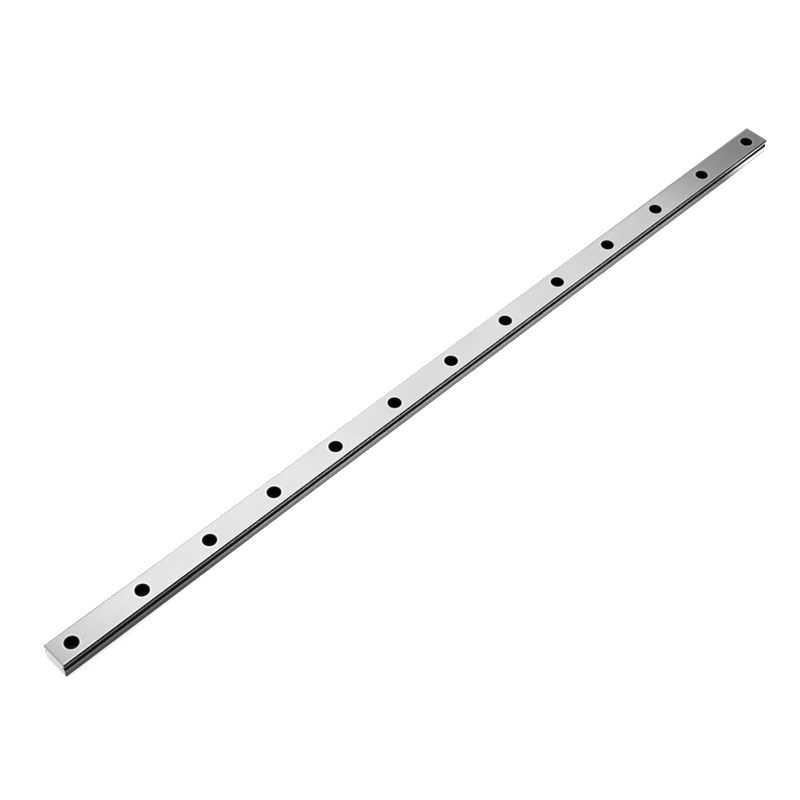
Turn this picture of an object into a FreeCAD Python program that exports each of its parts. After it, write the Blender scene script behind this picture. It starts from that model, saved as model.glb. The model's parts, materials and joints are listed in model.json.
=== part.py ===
"""Miniature linear guide rail: one ground steel bar with a ball raceway along each side
and a row of counterbored screw holes.

Frame: origin at the middle of the underside, +X along the rail, +Y across it, +Z up.
Lengths are in millimetres.
"""

import FreeCAD, Part
import math
import os

from FreeCAD import Vector

# Driving dimensions of the bar
rail_length = 500.0
rail_width = 15.0
rail_height = 9.5
top_edge_chamfer = 0.5
foot_edge_chamfer = 0.7
end_edge_chamfer = 0.4

# Driving dimensions of the raceways, for one row of balls on each side
ball_diameter = 2.778
arc_to_ball_ratio = 0.52
raceway_height = 6.4
raceway_opening = 2.55
relief_slot_width = 1.0
relief_slot_depth = 1.7

# Driving dimensions of the screw holes, for M3 socket head screws
hole_pitch = 40.0
hole_count = 13
shank_hole_diameter = 3.5
head_bore_diameter = 6.0
head_bore_depth = 4.5
rim_chamfer = 0.5
underside_chamfer = 0.2

# How far a cutting tool stands out of the bar
overrun = 1.0

half_length = rail_length / 2
half_width = rail_width / 2


def raceway_arc_points(side):
    """Ends and middles of the two arcs of one raceway's gothic arch, from its lower lip upwards.

    Each arc has its centre on the far side of the raceway's middle line, so the two meet the relief
    slot at a slant and a ball touches one point on each.
    """
    arc_radius = arc_to_ball_ratio * ball_diameter
    half_opening = raceway_opening / 2
    half_slot = relief_slot_width / 2
    centre_offset = (arc_radius - ball_diameter / 2) / math.sqrt(2)
    centre_out = math.sqrt(arc_radius ** 2 - (half_opening + centre_offset) ** 2)

    def on_arc(height_from_middle):
        reach = math.sqrt(arc_radius ** 2 - (abs(height_from_middle) + centre_offset) ** 2)
        depth = reach - centre_out
        return Vector(-half_length, side * (half_width - depth), raceway_height + height_from_middle)

    middle = (half_opening + half_slot) / 2
    heights = (-half_opening, -middle, -half_slot, half_slot, middle, half_opening)
    return [on_arc(height) for height in heights]


def side_edges(side):
    """The edges of the section's outline along one side, from the foot to the top."""
    lower_lip, lower_middle, slot_low, slot_high, upper_middle, upper_lip = raceway_arc_points(side)
    slot_bottom = side * (half_width - relief_slot_depth)
    foot_inner = Vector(-half_length, side * (half_width - foot_edge_chamfer), 0)
    foot_outer = Vector(-half_length, side * half_width, foot_edge_chamfer)
    top_outer = Vector(-half_length, side * half_width, rail_height - top_edge_chamfer)
    top_inner = Vector(-half_length, side * (half_width - top_edge_chamfer), rail_height)
    slot_low_inner = Vector(-half_length, slot_bottom, slot_low.z)
    slot_high_inner = Vector(-half_length, slot_bottom, slot_high.z)
    edges = [
        Part.makeLine(foot_inner, foot_outer),
        Part.makeLine(foot_outer, lower_lip),
        Part.Arc(lower_lip, lower_middle, slot_low).toShape(),
        Part.makeLine(slot_low, slot_low_inner),
        Part.makeLine(slot_low_inner, slot_high_inner),
        Part.makeLine(slot_high_inner, slot_high),
        Part.Arc(slot_high, upper_middle, upper_lip).toShape(),
        Part.makeLine(upper_lip, top_outer),
        Part.makeLine(top_outer, top_inner),
    ]
    return edges, foot_inner, top_inner


def section_bar():
    """The bar's section, drawn at one end and extruded over the whole length."""
    right_edges, right_foot, right_top = side_edges(-1)
    left_edges, left_foot, left_top = side_edges(1)
    underside = Part.makeLine(left_foot, right_foot)
    top = Part.makeLine(right_top, left_top)
    outline = Part.Wire(Part.__sortEdges__([underside, top] + right_edges + left_edges))
    return Part.Face(outline).extrude(Vector(rail_length, 0, 0))


def end_envelope():
    """A block of the bar's outer size with its end edges broken, which trims the bar's ends."""
    corner = Vector(-half_length, -half_width, 0)
    block = Part.makeBox(rail_length, rail_width, rail_height, corner)
    end_edges = []
    for edge in block.Edges:
        middle = edge.CenterOfMass
        if abs(abs(middle.x) - half_length) < 1e-6:
            end_edges.append(edge)
    return block.makeChamfer(end_edge_chamfer, end_edges)


def screw_hole_tool():
    """The shape that one screw hole takes away: shank hole, head bore and both broken rims."""
    shank_radius = shank_hole_diameter / 2
    head_radius = head_bore_diameter / 2
    seat_height = rail_height - head_bore_depth
    profile = [
        Vector(0, 0, -overrun),
        Vector(shank_radius + underside_chamfer + overrun, 0, -overrun),
        Vector(shank_radius, 0, underside_chamfer),
        Vector(shank_radius, 0, seat_height),
        Vector(head_radius, 0, seat_height),
        Vector(head_radius, 0, rail_height - rim_chamfer),
        Vector(head_radius + rim_chamfer + overrun, 0, rail_height + overrun),
        Vector(0, 0, rail_height + overrun),
    ]
    outline = Part.makePolygon(profile + [profile[0]])
    return Part.Face(outline).revolve(Vector(0, 0, 0), Vector(0, 0, 1), 360)


def screw_hole_row():
    """One tool for every hole, evenly spaced about the rail's middle."""
    tools = []
    for index in range(hole_count):
        tool = screw_hole_tool()
        tool.translate(Vector((index - (hole_count - 1) / 2) * hole_pitch, 0, 0))
        tools.append(tool)
    return tools


def guide_rail():
    """The finished rail."""
    bar = section_bar().common(end_envelope())
    return bar.cut(screw_hole_row()).removeSplitter().Solids[0]


os.makedirs("parts", exist_ok=True)
guide_rail().exportStep("parts/guide_rail.step")
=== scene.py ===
"""Looks of the miniature guide rail: its steel finishes, a plain studio and the photograph's camera."""

import json
import math

import bpy
from mathutils import Matrix, Vector


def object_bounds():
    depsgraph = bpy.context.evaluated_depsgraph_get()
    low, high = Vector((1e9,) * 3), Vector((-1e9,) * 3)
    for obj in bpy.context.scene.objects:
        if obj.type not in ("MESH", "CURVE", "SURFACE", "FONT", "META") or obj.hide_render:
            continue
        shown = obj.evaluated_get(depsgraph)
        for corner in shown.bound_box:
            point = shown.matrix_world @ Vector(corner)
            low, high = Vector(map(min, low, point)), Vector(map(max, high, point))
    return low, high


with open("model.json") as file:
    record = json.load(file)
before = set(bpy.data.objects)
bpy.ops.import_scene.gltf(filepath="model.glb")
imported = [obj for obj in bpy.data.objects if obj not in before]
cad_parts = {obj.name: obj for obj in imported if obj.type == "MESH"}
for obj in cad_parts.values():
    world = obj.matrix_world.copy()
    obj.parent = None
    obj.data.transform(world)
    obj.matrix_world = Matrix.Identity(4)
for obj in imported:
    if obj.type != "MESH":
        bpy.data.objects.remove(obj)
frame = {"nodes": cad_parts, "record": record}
cad_low, cad_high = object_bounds()

MM = 0.001

# Sizes of the rail that its finishes follow, in millimetres
mounts = {mount["name"]: Vector(mount["pos_m"]) / MM for mount in frame["record"]["mounts"]}
rail_half_length = cad_high.x / MM
rail_half_width = cad_high.y / MM
rail_height = cad_high.z / MM
hole_pitch = mounts["screw_hole_2"].x - mounts["screw_hole_1"].x
raceway_height = mounts["carriage_run"].z
RACEWAY_HALF_OPENING = 1.275
RELIEF_SLOT_START = 0.73

# Where the finishes meet, in millimetres. The thin dark lines of the broken edges, the raceway and
# the hole rims are painted shade and dark reflections. The lip band is a painted highlight, and the
# deburred bands are partly a painted glint. The dark lines lose tone in the render, so each is drawn
# some tenths wider than its shape.
EDGE_ON_TOP = 0.64
EDGE_ON_SIDE = 0.9
EDGE_AT_END = 0.6
UPPER_LAND_START = 8.33
LIP_SHADOW = 0.5
LIP_HIGHLIGHT_BAND = 0.35
LOWER_LAND_START = 2.05
HOLE_RIM = 3.68
RIM_FADE = 0.36
DEBURRED_GLINT_BAND = 0.3
DEBURRED_GLINT_FADE = 0.4
DEBURRED_LEAN = math.radians(9.5)
UNDERSIDE_GAP = 0.05
SURFACE_GAP = 0.01

# How much of a surface's facing lies along an axis where it is square to it, or slants towards it
SQUARE = 0.9
SLANTED = 0.5

# The width, length and depth of one grinding mark and the size of a wiped cloud, in millimetres.
# Real marks are a few hundredths wide, so these are drawn coarser to show at all.
MARK_WIDTH = 0.45
MARK_LENGTH = 70.0
MARK_DEPTH = 0.0006
CLOUD_SIZE = 28.0

# The middle stretch of a noise pattern, and how far it changes the tone either way
NOISE_LOW, NOISE_HIGH = 0.3, 0.7
TONE_CHANGE = 0.03

# How bright the paper is by itself, before any lamp, and the pale room around it
PAPER_GLOW = 0.715
ROOM = 0.8

# The dark card in the room: its brightness, the way to it, and how wide it is and fades
CARD = 0.3
CARD_DIRECTION = (0.400, 0.240, 0.885)
CARD_REACH = math.radians(36)
CARD_FADE = math.radians(14)

# The key's softboxes, in metres: how high they hang, and where their two rows start, meet and end
KEY_HEIGHT = 0.9
KEY_FRONT, KEY_SEAM, KEY_BACK = -0.35, 0.34, 1.05

# The floor, in metres: the radius and height of each ring from its flat middle outwards
FLOOR_RINGS = ((6.0, 0.0), (7.0, 0.15), (7.7, 0.6), (8.0, 1.2), (8.0, 3.6))
FLOOR_SIDES = 64

# The camera: its sensor and lens in millimetres, the side and height it looks from and its roll,
# and its place in millimetres from the middle of the rail's top
SENSOR_WIDTH = 36.0
FOCAL_LENGTH = 76.49
CAMERA_AZIMUTH = math.radians(-44.798)
CAMERA_ELEVATION = math.radians(50.264)
CAMERA_ROLL = math.radians(0.766)
CAMERA_PLACE = (-418.38, -384.88, 651.45)


def linear(hex_colour):
    """An sRGB hex colour as linear red, green, blue and alpha."""
    channels = []
    for start in (1, 3, 5):
        value = int(hex_colour[start:start + 2], 16) / 255
        channels.append(value / 12.92 if value <= 0.04045 else ((value + 0.055) / 1.055) ** 2.4)
    return (*channels, 1.0)


def add_node(tree, kind, settings=None, inputs=None):
    """A new node with its settings; an input takes a value, an output or a node's first output."""
    node = tree.nodes.new("ShaderNode" + kind)
    for name, value in (settings or {}).items():
        setattr(node, name, value)
    for socket, value in (inputs or {}).items():
        if isinstance(value, bpy.types.Node):
            value = value.outputs[0]
        if isinstance(value, bpy.types.NodeSocket):
            tree.links.new(value, node.inputs[socket])
        else:
            node.inputs[socket].default_value = value
    return node


def new_material(name):
    """An empty node material and its node tree."""
    material = bpy.data.materials.new(name)
    material.use_nodes = True
    material.node_tree.nodes.clear()
    return material, material.node_tree


def rail_regions(tree):
    """Places on the rail in millimetres, the way its surface faces, and a mask for each finish.

    A mask is 1 where the finish is and 0 elsewhere, and it fades where the finish ends softly.
    """
    coordinates = add_node(tree, "TexCoord")
    normal = coordinates.outputs["Normal"]
    place = add_node(tree, "VectorMath", {"operation": "SCALE"}, {
        0: coordinates.outputs["Object"],
        "Scale": 1 / MM,
    })
    x, y, z = add_node(tree, "SeparateXYZ", inputs={0: place}).outputs
    normal_x, normal_y, normal_z = add_node(tree, "SeparateXYZ", inputs={0: normal}).outputs

    # The cut ends, the long sides and the top, by the way that they face
    endwise = add_node(tree, "Math", {"operation": "ABSOLUTE"}, {0: normal_x})
    sidewise = add_node(tree, "Math", {"operation": "ABSOLUTE"}, {0: normal_y})
    # The cut ends are rougher, and also painted paler than the top as the bright paper they mirror
    end = add_node(tree, "Math", {"operation": "GREATER_THAN"}, {0: endwise, 1: SQUARE})
    # The flank carries a dark colour painted on the sides, as the shade and dark room they mirror
    painted_dark_flank = add_node(tree, "Math", {"operation": "GREATER_THAN"}, {0: sidewise, 1: SLANTED})
    side = add_node(tree, "Math", {"operation": "GREATER_THAN"}, {0: sidewise, 1: SQUARE})
    top = add_node(tree, "Math", {"operation": "GREATER_THAN"}, {0: normal_z, 1: SQUARE})

    # The ground lands of the long sides, painted greyer than the top as the shaded paper they mirror,
    # and the lip at the top of the lower one, painted brighter as a highlight
    lip_top = raceway_height - RACEWAY_HALF_OPENING - LIP_SHADOW
    lower_middle = (LOWER_LAND_START + lip_top) / 2
    lower_half = (lip_top - LOWER_LAND_START) / 2
    upper = add_node(tree, "Math", {"operation": "GREATER_THAN"}, {0: z, 1: UPPER_LAND_START})
    lower = add_node(tree, "Math", {"operation": "COMPARE"}, {0: z, 1: lower_middle, 2: lower_half})
    near_lip = add_node(tree, "Math", {"operation": "GREATER_THAN"}, {0: z, 1: lip_top - LIP_HIGHLIGHT_BAND})
    upper_land = add_node(tree, "Math", {"operation": "MULTIPLY"}, {0: side, 1: upper})
    shaded_lower_land = add_node(tree, "Math", {"operation": "MULTIPLY"}, {0: side, 1: lower})
    lip_highlight = add_node(tree, "Math", {"operation": "MULTIPLY"}, {0: shaded_lower_land, 1: near_lip})
    upper_land_and_lip_highlight = add_node(tree, "Math", {"operation": "MAXIMUM"}, {0: upper_land, 1: lip_highlight})

    # The holes and their rims, painted dark as their shade and fading, by the distance from the nearest
    # hole's axis
    half_pitch = hole_pitch / 2
    along = add_node(tree, "Math", {"operation": "WRAP"}, {0: x, 1: half_pitch, 2: -half_pitch})
    across = add_node(tree, "CombineXYZ", inputs={0: along, 1: y})
    from_axis = add_node(tree, "VectorMath", {"operation": "LENGTH"}, {0: across}).outputs["Value"]
    near_axis = add_node(tree, "MapRange", inputs={
        "Value": from_axis,
        "From Min": HOLE_RIM + RIM_FADE / 2,
        "From Max": HOLE_RIM - RIM_FADE / 2,
    })
    off_underside = add_node(tree, "Math", {"operation": "GREATER_THAN"}, {0: z, 1: UNDERSIDE_GAP})
    hole = add_node(tree, "Math", {"operation": "MULTIPLY"}, {0: near_axis, 1: off_underside})

    # The raceways, painted dark as the dark room they mirror, and their relief slots, painted dark as
    # their shade, by the depth inside the long sides
    off_middle = add_node(tree, "Math", {"operation": "ABSOLUTE"}, {0: y})
    inset = add_node(tree, "Math", {"operation": "SUBTRACT"}, {0: rail_half_width, 1: off_middle})
    level = add_node(tree, "Math", {"operation": "COMPARE"}, {
        0: z,
        1: raceway_height,
        2: RACEWAY_HALF_OPENING,
    })
    groove = add_node(tree, "Math", {"operation": "SUBTRACT", "use_clamp": True}, {0: level, 1: end})
    inside = add_node(tree, "Math", {"operation": "GREATER_THAN"}, {0: inset, 1: SURFACE_GAP})
    dark_painted_raceway = add_node(tree, "Math", {"operation": "MULTIPLY"}, {0: groove, 1: inside})
    deep = add_node(tree, "Math", {"operation": "GREATER_THAN"}, {0: inset, 1: RELIEF_SLOT_START})
    slot = add_node(tree, "Math", {"operation": "MULTIPLY"}, {0: groove, 1: deep})
    # Holes and relief slots take a near-black colour painted as the shade in these hollows
    shaded_hollows = add_node(tree, "Math", {"operation": "MAXIMUM"}, {0: hole, 1: slot})

    # The broken edges of the top, painted dark as the dark room they mirror: at the ends, and along
    # the sides, where they face half outwards
    near_side = add_node(tree, "Math", {"operation": "LESS_THAN"}, {0: inset, 1: EDGE_ON_TOP})
    near_top = add_node(tree, "Math", {"operation": "GREATER_THAN"}, {
        0: z,
        1: rail_height - EDGE_ON_SIDE,
    })
    lengthwise = add_node(tree, "Math", {"operation": "ABSOLUTE"}, {0: x})
    near_end = add_node(tree, "Math", {"operation": "GREATER_THAN"}, {
        0: lengthwise,
        1: rail_half_length - EDGE_AT_END,
    })
    shaded_end_edge = add_node(tree, "Math", {"operation": "MULTIPLY"}, {0: near_end, 1: near_top})
    dark_painted_edge = add_node(tree, "Math", {"operation": "MULTIPLY"}, {0: near_side, 1: near_top})
    outwards = add_node(tree, "Math", {"operation": "SIGN"}, {0: y})
    edge_normal = add_node(tree, "CombineXYZ", inputs={1: outwards, 2: 1.0})
    # A Mix node takes its factor at 0, then a pair of numbers at 2, of vectors at 4 and of colours at 6
    broken = add_node(tree, "Mix", {"data_type": "VECTOR"}, {
        0: dark_painted_edge,
        4: normal,
        5: edge_normal,
    }).outputs[1]

    # The deburred bands of the top, painted whiter partly as a glint: rings round the holes, and lines
    # beside the long edges that lean outwards
    near_hole = add_node(tree, "MapRange", inputs={
        "Value": from_axis,
        "From Min": HOLE_RIM + DEBURRED_GLINT_BAND + DEBURRED_GLINT_FADE,
        "From Max": HOLE_RIM + DEBURRED_GLINT_BAND,
    })
    near_edge = add_node(tree, "MapRange", inputs={
        "Value": inset,
        "From Min": EDGE_ON_TOP + DEBURRED_GLINT_BAND + DEBURRED_GLINT_FADE,
        "From Max": EDGE_ON_TOP + DEBURRED_GLINT_BAND,
    })
    hole_ring_and_glint = add_node(tree, "Math", {"operation": "MULTIPLY"}, {0: near_hole, 1: top})
    edge_line_and_glint = add_node(tree, "Math", {"operation": "MULTIPLY"}, {0: near_edge, 1: top})
    steepness = math.tan(DEBURRED_LEAN)
    slope = add_node(tree, "Math", {"operation": "MULTIPLY"}, {0: edge_line_and_glint, 1: steepness})
    lean = add_node(tree, "Math", {"operation": "MULTIPLY"}, {0: slope, 1: outwards})
    lean_normal = add_node(tree, "CombineXYZ", inputs={1: lean})
    leaning = add_node(tree, "VectorMath", {"operation": "ADD"}, {0: broken, 1: lean_normal})
    facing = add_node(tree, "VectorMath", {"operation": "NORMALIZE"}, {0: leaning})

    masks = {
        "painted_dark_flank": painted_dark_flank,
        "shaded_lower_land": shaded_lower_land,
        "upper_land_and_lip_highlight": upper_land_and_lip_highlight,
        "hole_ring_and_glint": hole_ring_and_glint,
        "edge_line_and_glint": edge_line_and_glint,
        "shaded_end_edge": shaded_end_edge,
        "dark_painted_edge": dark_painted_edge,
        "dark_painted_raceway": dark_painted_raceway,
        "end": end,
        "shaded_hollows": shaded_hollows,
    }
    return place, facing, masks


def guide_rail_steel():
    """Bearing steel, hardened and then ground.

    The top is bright with fine lengthwise marks. The lands of the sides are painted greyer, as the
    shaded paper they mirror, with a painted highlight on the lower lip. Deburred bands are whiter,
    partly as a painted glint, and the cut ends are painted paler for the light they mirror. The broken
    edges, the bands beside the lands and the raceways are painted dark as the dark room and shade they
    mirror, and the holes and relief slots are painted near black as their shade.
    """
    material, tree = new_material("ground_bearing_steel")
    place, facing, masks = rail_regions(tree)

    # Each finish lies over those before it: where, colour, roughness
    colour = linear("#C6C6C8")
    roughness = 0.17
    finishes = (
        # Apart from the top's, these colours are painted light: the dark ones are painted shade and dark
        # reflections; the lip, rings, lines and ends are painted highlights, the rings and lines partly
        # real deburring
        ("painted_dark_flank", "#1C1C1C", 0.35),
        ("shaded_lower_land", "#444444", 0.3),
        ("upper_land_and_lip_highlight", "#A6A6A6", 0.3),
        ("hole_ring_and_glint", "#F4F4F4", 0.2),
        ("edge_line_and_glint", "#DEDEDE", 0.2),
        ("shaded_end_edge", "#A8A8A8", 0.25),
        ("dark_painted_edge", "#141414", 0.25),
        ("dark_painted_raceway", "#141414", 0.2),
        ("end", "#D6D6D6", 0.42),
        ("shaded_hollows", "#1A1A1A", 0.7),
    )
    for name, finish_colour, finish_roughness in finishes:
        colour = add_node(tree, "Mix", {"data_type": "RGBA"}, {
            0: masks[name],
            6: colour,
            7: linear(finish_colour),
        }).outputs[2]
        roughness = add_node(tree, "Mix", inputs={0: masks[name], 2: roughness, 3: finish_roughness})

    # Lengthwise grinding marks, and the faint clouds of an oiled and wiped surface
    mark_scale = (1 / MARK_LENGTH, 1 / MARK_WIDTH, 1 / MARK_WIDTH)
    mark_place = add_node(tree, "VectorMath", {"operation": "MULTIPLY"}, {0: place, 1: mark_scale})
    marks = add_node(tree, "TexNoise", inputs={"Vector": mark_place, "Scale": 1.0, "Detail": 2.0})
    clouds = add_node(tree, "TexNoise", inputs={"Vector": place, "Scale": 1 / CLOUD_SIZE, "Detail": 2.0})
    tone = 1.0
    for pattern in (marks, clouds):
        shade = add_node(tree, "MapRange", inputs={
            "Value": pattern,
            "From Min": NOISE_LOW,
            "From Max": NOISE_HIGH,
            "To Min": 1 - TONE_CHANGE,
            "To Max": 1 + TONE_CHANGE,
        })
        tone = add_node(tree, "Math", {"operation": "MULTIPLY"}, {0: shade, 1: tone})
    marked_colour = add_node(tree, "VectorMath", {"operation": "SCALE"}, {0: colour, "Scale": tone})
    marked_roughness = add_node(tree, "Math", {"operation": "DIVIDE"}, {0: roughness, 1: tone})
    relief = add_node(tree, "Bump", inputs={
        "Distance": MARK_DEPTH * MM,
        "Height": marks,
        "Normal": facing,
    })
    steel = add_node(tree, "BsdfPrincipled", inputs={
        "Base Color": marked_colour,
        "Metallic": 1.0,
        "Roughness": marked_roughness,
        "Normal": relief,
    })
    add_node(tree, "OutputMaterial", inputs={"Surface": steel})
    return material


def white_paper():
    """Matt white paper, as on a studio table.

    A glow that only the camera and the steel see makes it white, and the rail's soft shadow stays.
    """
    material, tree = new_material("white_paper")
    path = add_node(tree, "LightPath")
    direct = add_node(tree, "Math", {"operation": "MAXIMUM"}, {
        0: path.outputs["Is Camera Ray"],
        1: path.outputs["Is Glossy Ray"],
    })
    seen = add_node(tree, "Math", {"operation": "MAXIMUM"}, {
        0: direct,
        1: path.outputs["Is Transmission Ray"],
    })
    strength = add_node(tree, "Math", {"operation": "MULTIPLY"}, {0: seen, 1: PAPER_GLOW})
    glow = add_node(tree, "Emission", inputs={"Strength": strength})
    paper = add_node(tree, "BsdfDiffuse", inputs={"Color": linear("#BCBCBC")})
    both = add_node(tree, "AddShader", inputs={0: glow, 1: paper})
    add_node(tree, "OutputMaterial", inputs={"Surface": both})
    return material


def floor():
    """A round floor whose rim curves up, so that low views end on pale paper too."""
    points = [(0, 0, 0)]
    for radius, height in FLOOR_RINGS:
        for side in range(FLOOR_SIDES):
            angle = 2 * math.pi * side / FLOOR_SIDES
            points.append((radius * math.cos(angle), radius * math.sin(angle), height))
    faces = []
    for side in range(FLOOR_SIDES):
        following = (side + 1) % FLOOR_SIDES
        faces.append((0, 1 + side, 1 + following))
        for ring in range(len(FLOOR_RINGS) - 1):
            inner = 1 + ring * FLOOR_SIDES
            outer = inner + FLOOR_SIDES
            faces.append((inner + side, outer + side, outer + following, inner + following))
    mesh = bpy.data.meshes.new("floor")
    mesh.from_pydata(points, [], faces)
    paper = bpy.data.objects.new("floor", mesh)
    paper.data.materials.append(white_paper())
    bpy.context.scene.collection.objects.link(paper)


def softbox(name, low, high, height, radiance):
    """A level rectangular lamp facing down, from one corner to the other, in metres."""
    lamp = bpy.data.lights.new(name, "AREA")
    lamp.shape = "RECTANGLE"
    lamp.size = high[0] - low[0]
    lamp.size_y = high[1] - low[1]
    lamp.energy = radiance * math.pi * lamp.size * lamp.size_y
    box = bpy.data.objects.new(name, lamp)
    box.location = ((low[0] + high[0]) / 2, (low[1] + high[1]) / 2, height)
    box.visible_camera = False
    bpy.context.scene.collection.objects.link(box)
    return box


def key_light():
    """An overhead key: the top mirrors its back row, and the top's near leaning line its front row."""
    # Where each softbox starts and ends along the rail, in metres, and its radiance
    back_row = ((-0.024, 0.40, 1.10), (0.40, 0.70, 1.0), (0.70, 1.008, 0.9))
    front_row = ((-0.35, 0.29, 1.2), (0.29, 0.93, 1.05))
    for start, end, radiance in back_row:
        softbox("key_back_softbox", (start, KEY_SEAM), (end, KEY_BACK), KEY_HEIGHT, radiance)
    for start, end, radiance in front_row:
        softbox("key_front_softbox", (start, KEY_FRONT), (end, KEY_SEAM), KEY_HEIGHT, radiance)


def paper_light():
    """Three low shaded lamps that light only the paper beside the rail, which its sides mirror."""
    # Two corners and the height in metres, the radiance, and the beam in degrees
    lamps = (
        ("front_paper_lamp", (-0.15, -0.030), (0.20, -0.012), 0.05, 10.3, 120),
        ("far_paper_lamp", (0.226, -0.026), (0.256, -0.012), 0.03, 36.0, 60),
        ("back_paper_lamp", (-0.20, 0.012), (0.15, 0.030), 0.05, 10.3, 120),
    )
    for name, low, high, height, radiance, beam in lamps:
        lamp = softbox(name, low, high, height, radiance)
        lamp.data.spread = math.radians(beam)
        lamp.visible_glossy = False


def room():
    """A pale room, with a dark card behind the key that the far end of the top mirrors."""
    world = bpy.data.worlds.new("studio_room")
    world.use_nodes = True
    tree = world.node_tree
    tree.nodes.clear()
    towards_card = add_node(tree, "VectorMath", {"operation": "DOT_PRODUCT"}, {
        0: add_node(tree, "TexCoord"),
        1: CARD_DIRECTION,
    }).outputs["Value"]
    brightness = add_node(tree, "MapRange", inputs={
        "Value": towards_card,
        "From Min": math.cos(CARD_REACH + CARD_FADE),
        "From Max": math.cos(CARD_REACH),
        "To Min": ROOM,
        "To Max": CARD,
    })
    air = add_node(tree, "Background", inputs={"Color": linear("#FFFFFF"), "Strength": brightness})
    add_node(tree, "OutputWorld", inputs={"Surface": air})
    bpy.context.scene.world = world


def camera():
    """The photograph's viewpoint, fitted to the rail's edges and holes."""
    lens = bpy.data.cameras.new("camera")
    lens.sensor_width = SENSOR_WIDTH
    lens.lens = FOCAL_LENGTH
    viewer = bpy.data.objects.new("camera", lens)
    level = math.cos(CAMERA_ELEVATION)
    back = Vector((
        math.sin(CAMERA_AZIMUTH) * level,
        -math.cos(CAMERA_AZIMUTH) * level,
        math.sin(CAMERA_ELEVATION),
    ))
    place = (Vector((0, 0, rail_height)) + Vector(CAMERA_PLACE)) * MM
    aim = (-back).to_track_quat("-Z", "Y").to_matrix().to_4x4()
    roll = Matrix.Rotation(CAMERA_ROLL, 4, "Z")
    viewer.matrix_world = Matrix.Translation(place) @ aim @ roll
    bpy.context.scene.collection.objects.link(viewer)
    bpy.context.scene.camera = viewer


rail = frame["nodes"]["guide_rail"]
rail.material_slots[0].material = guide_rail_steel()
floor()
key_light()
paper_light()
room()
camera()
bpy.context.scene.view_settings.view_transform = "Standard"
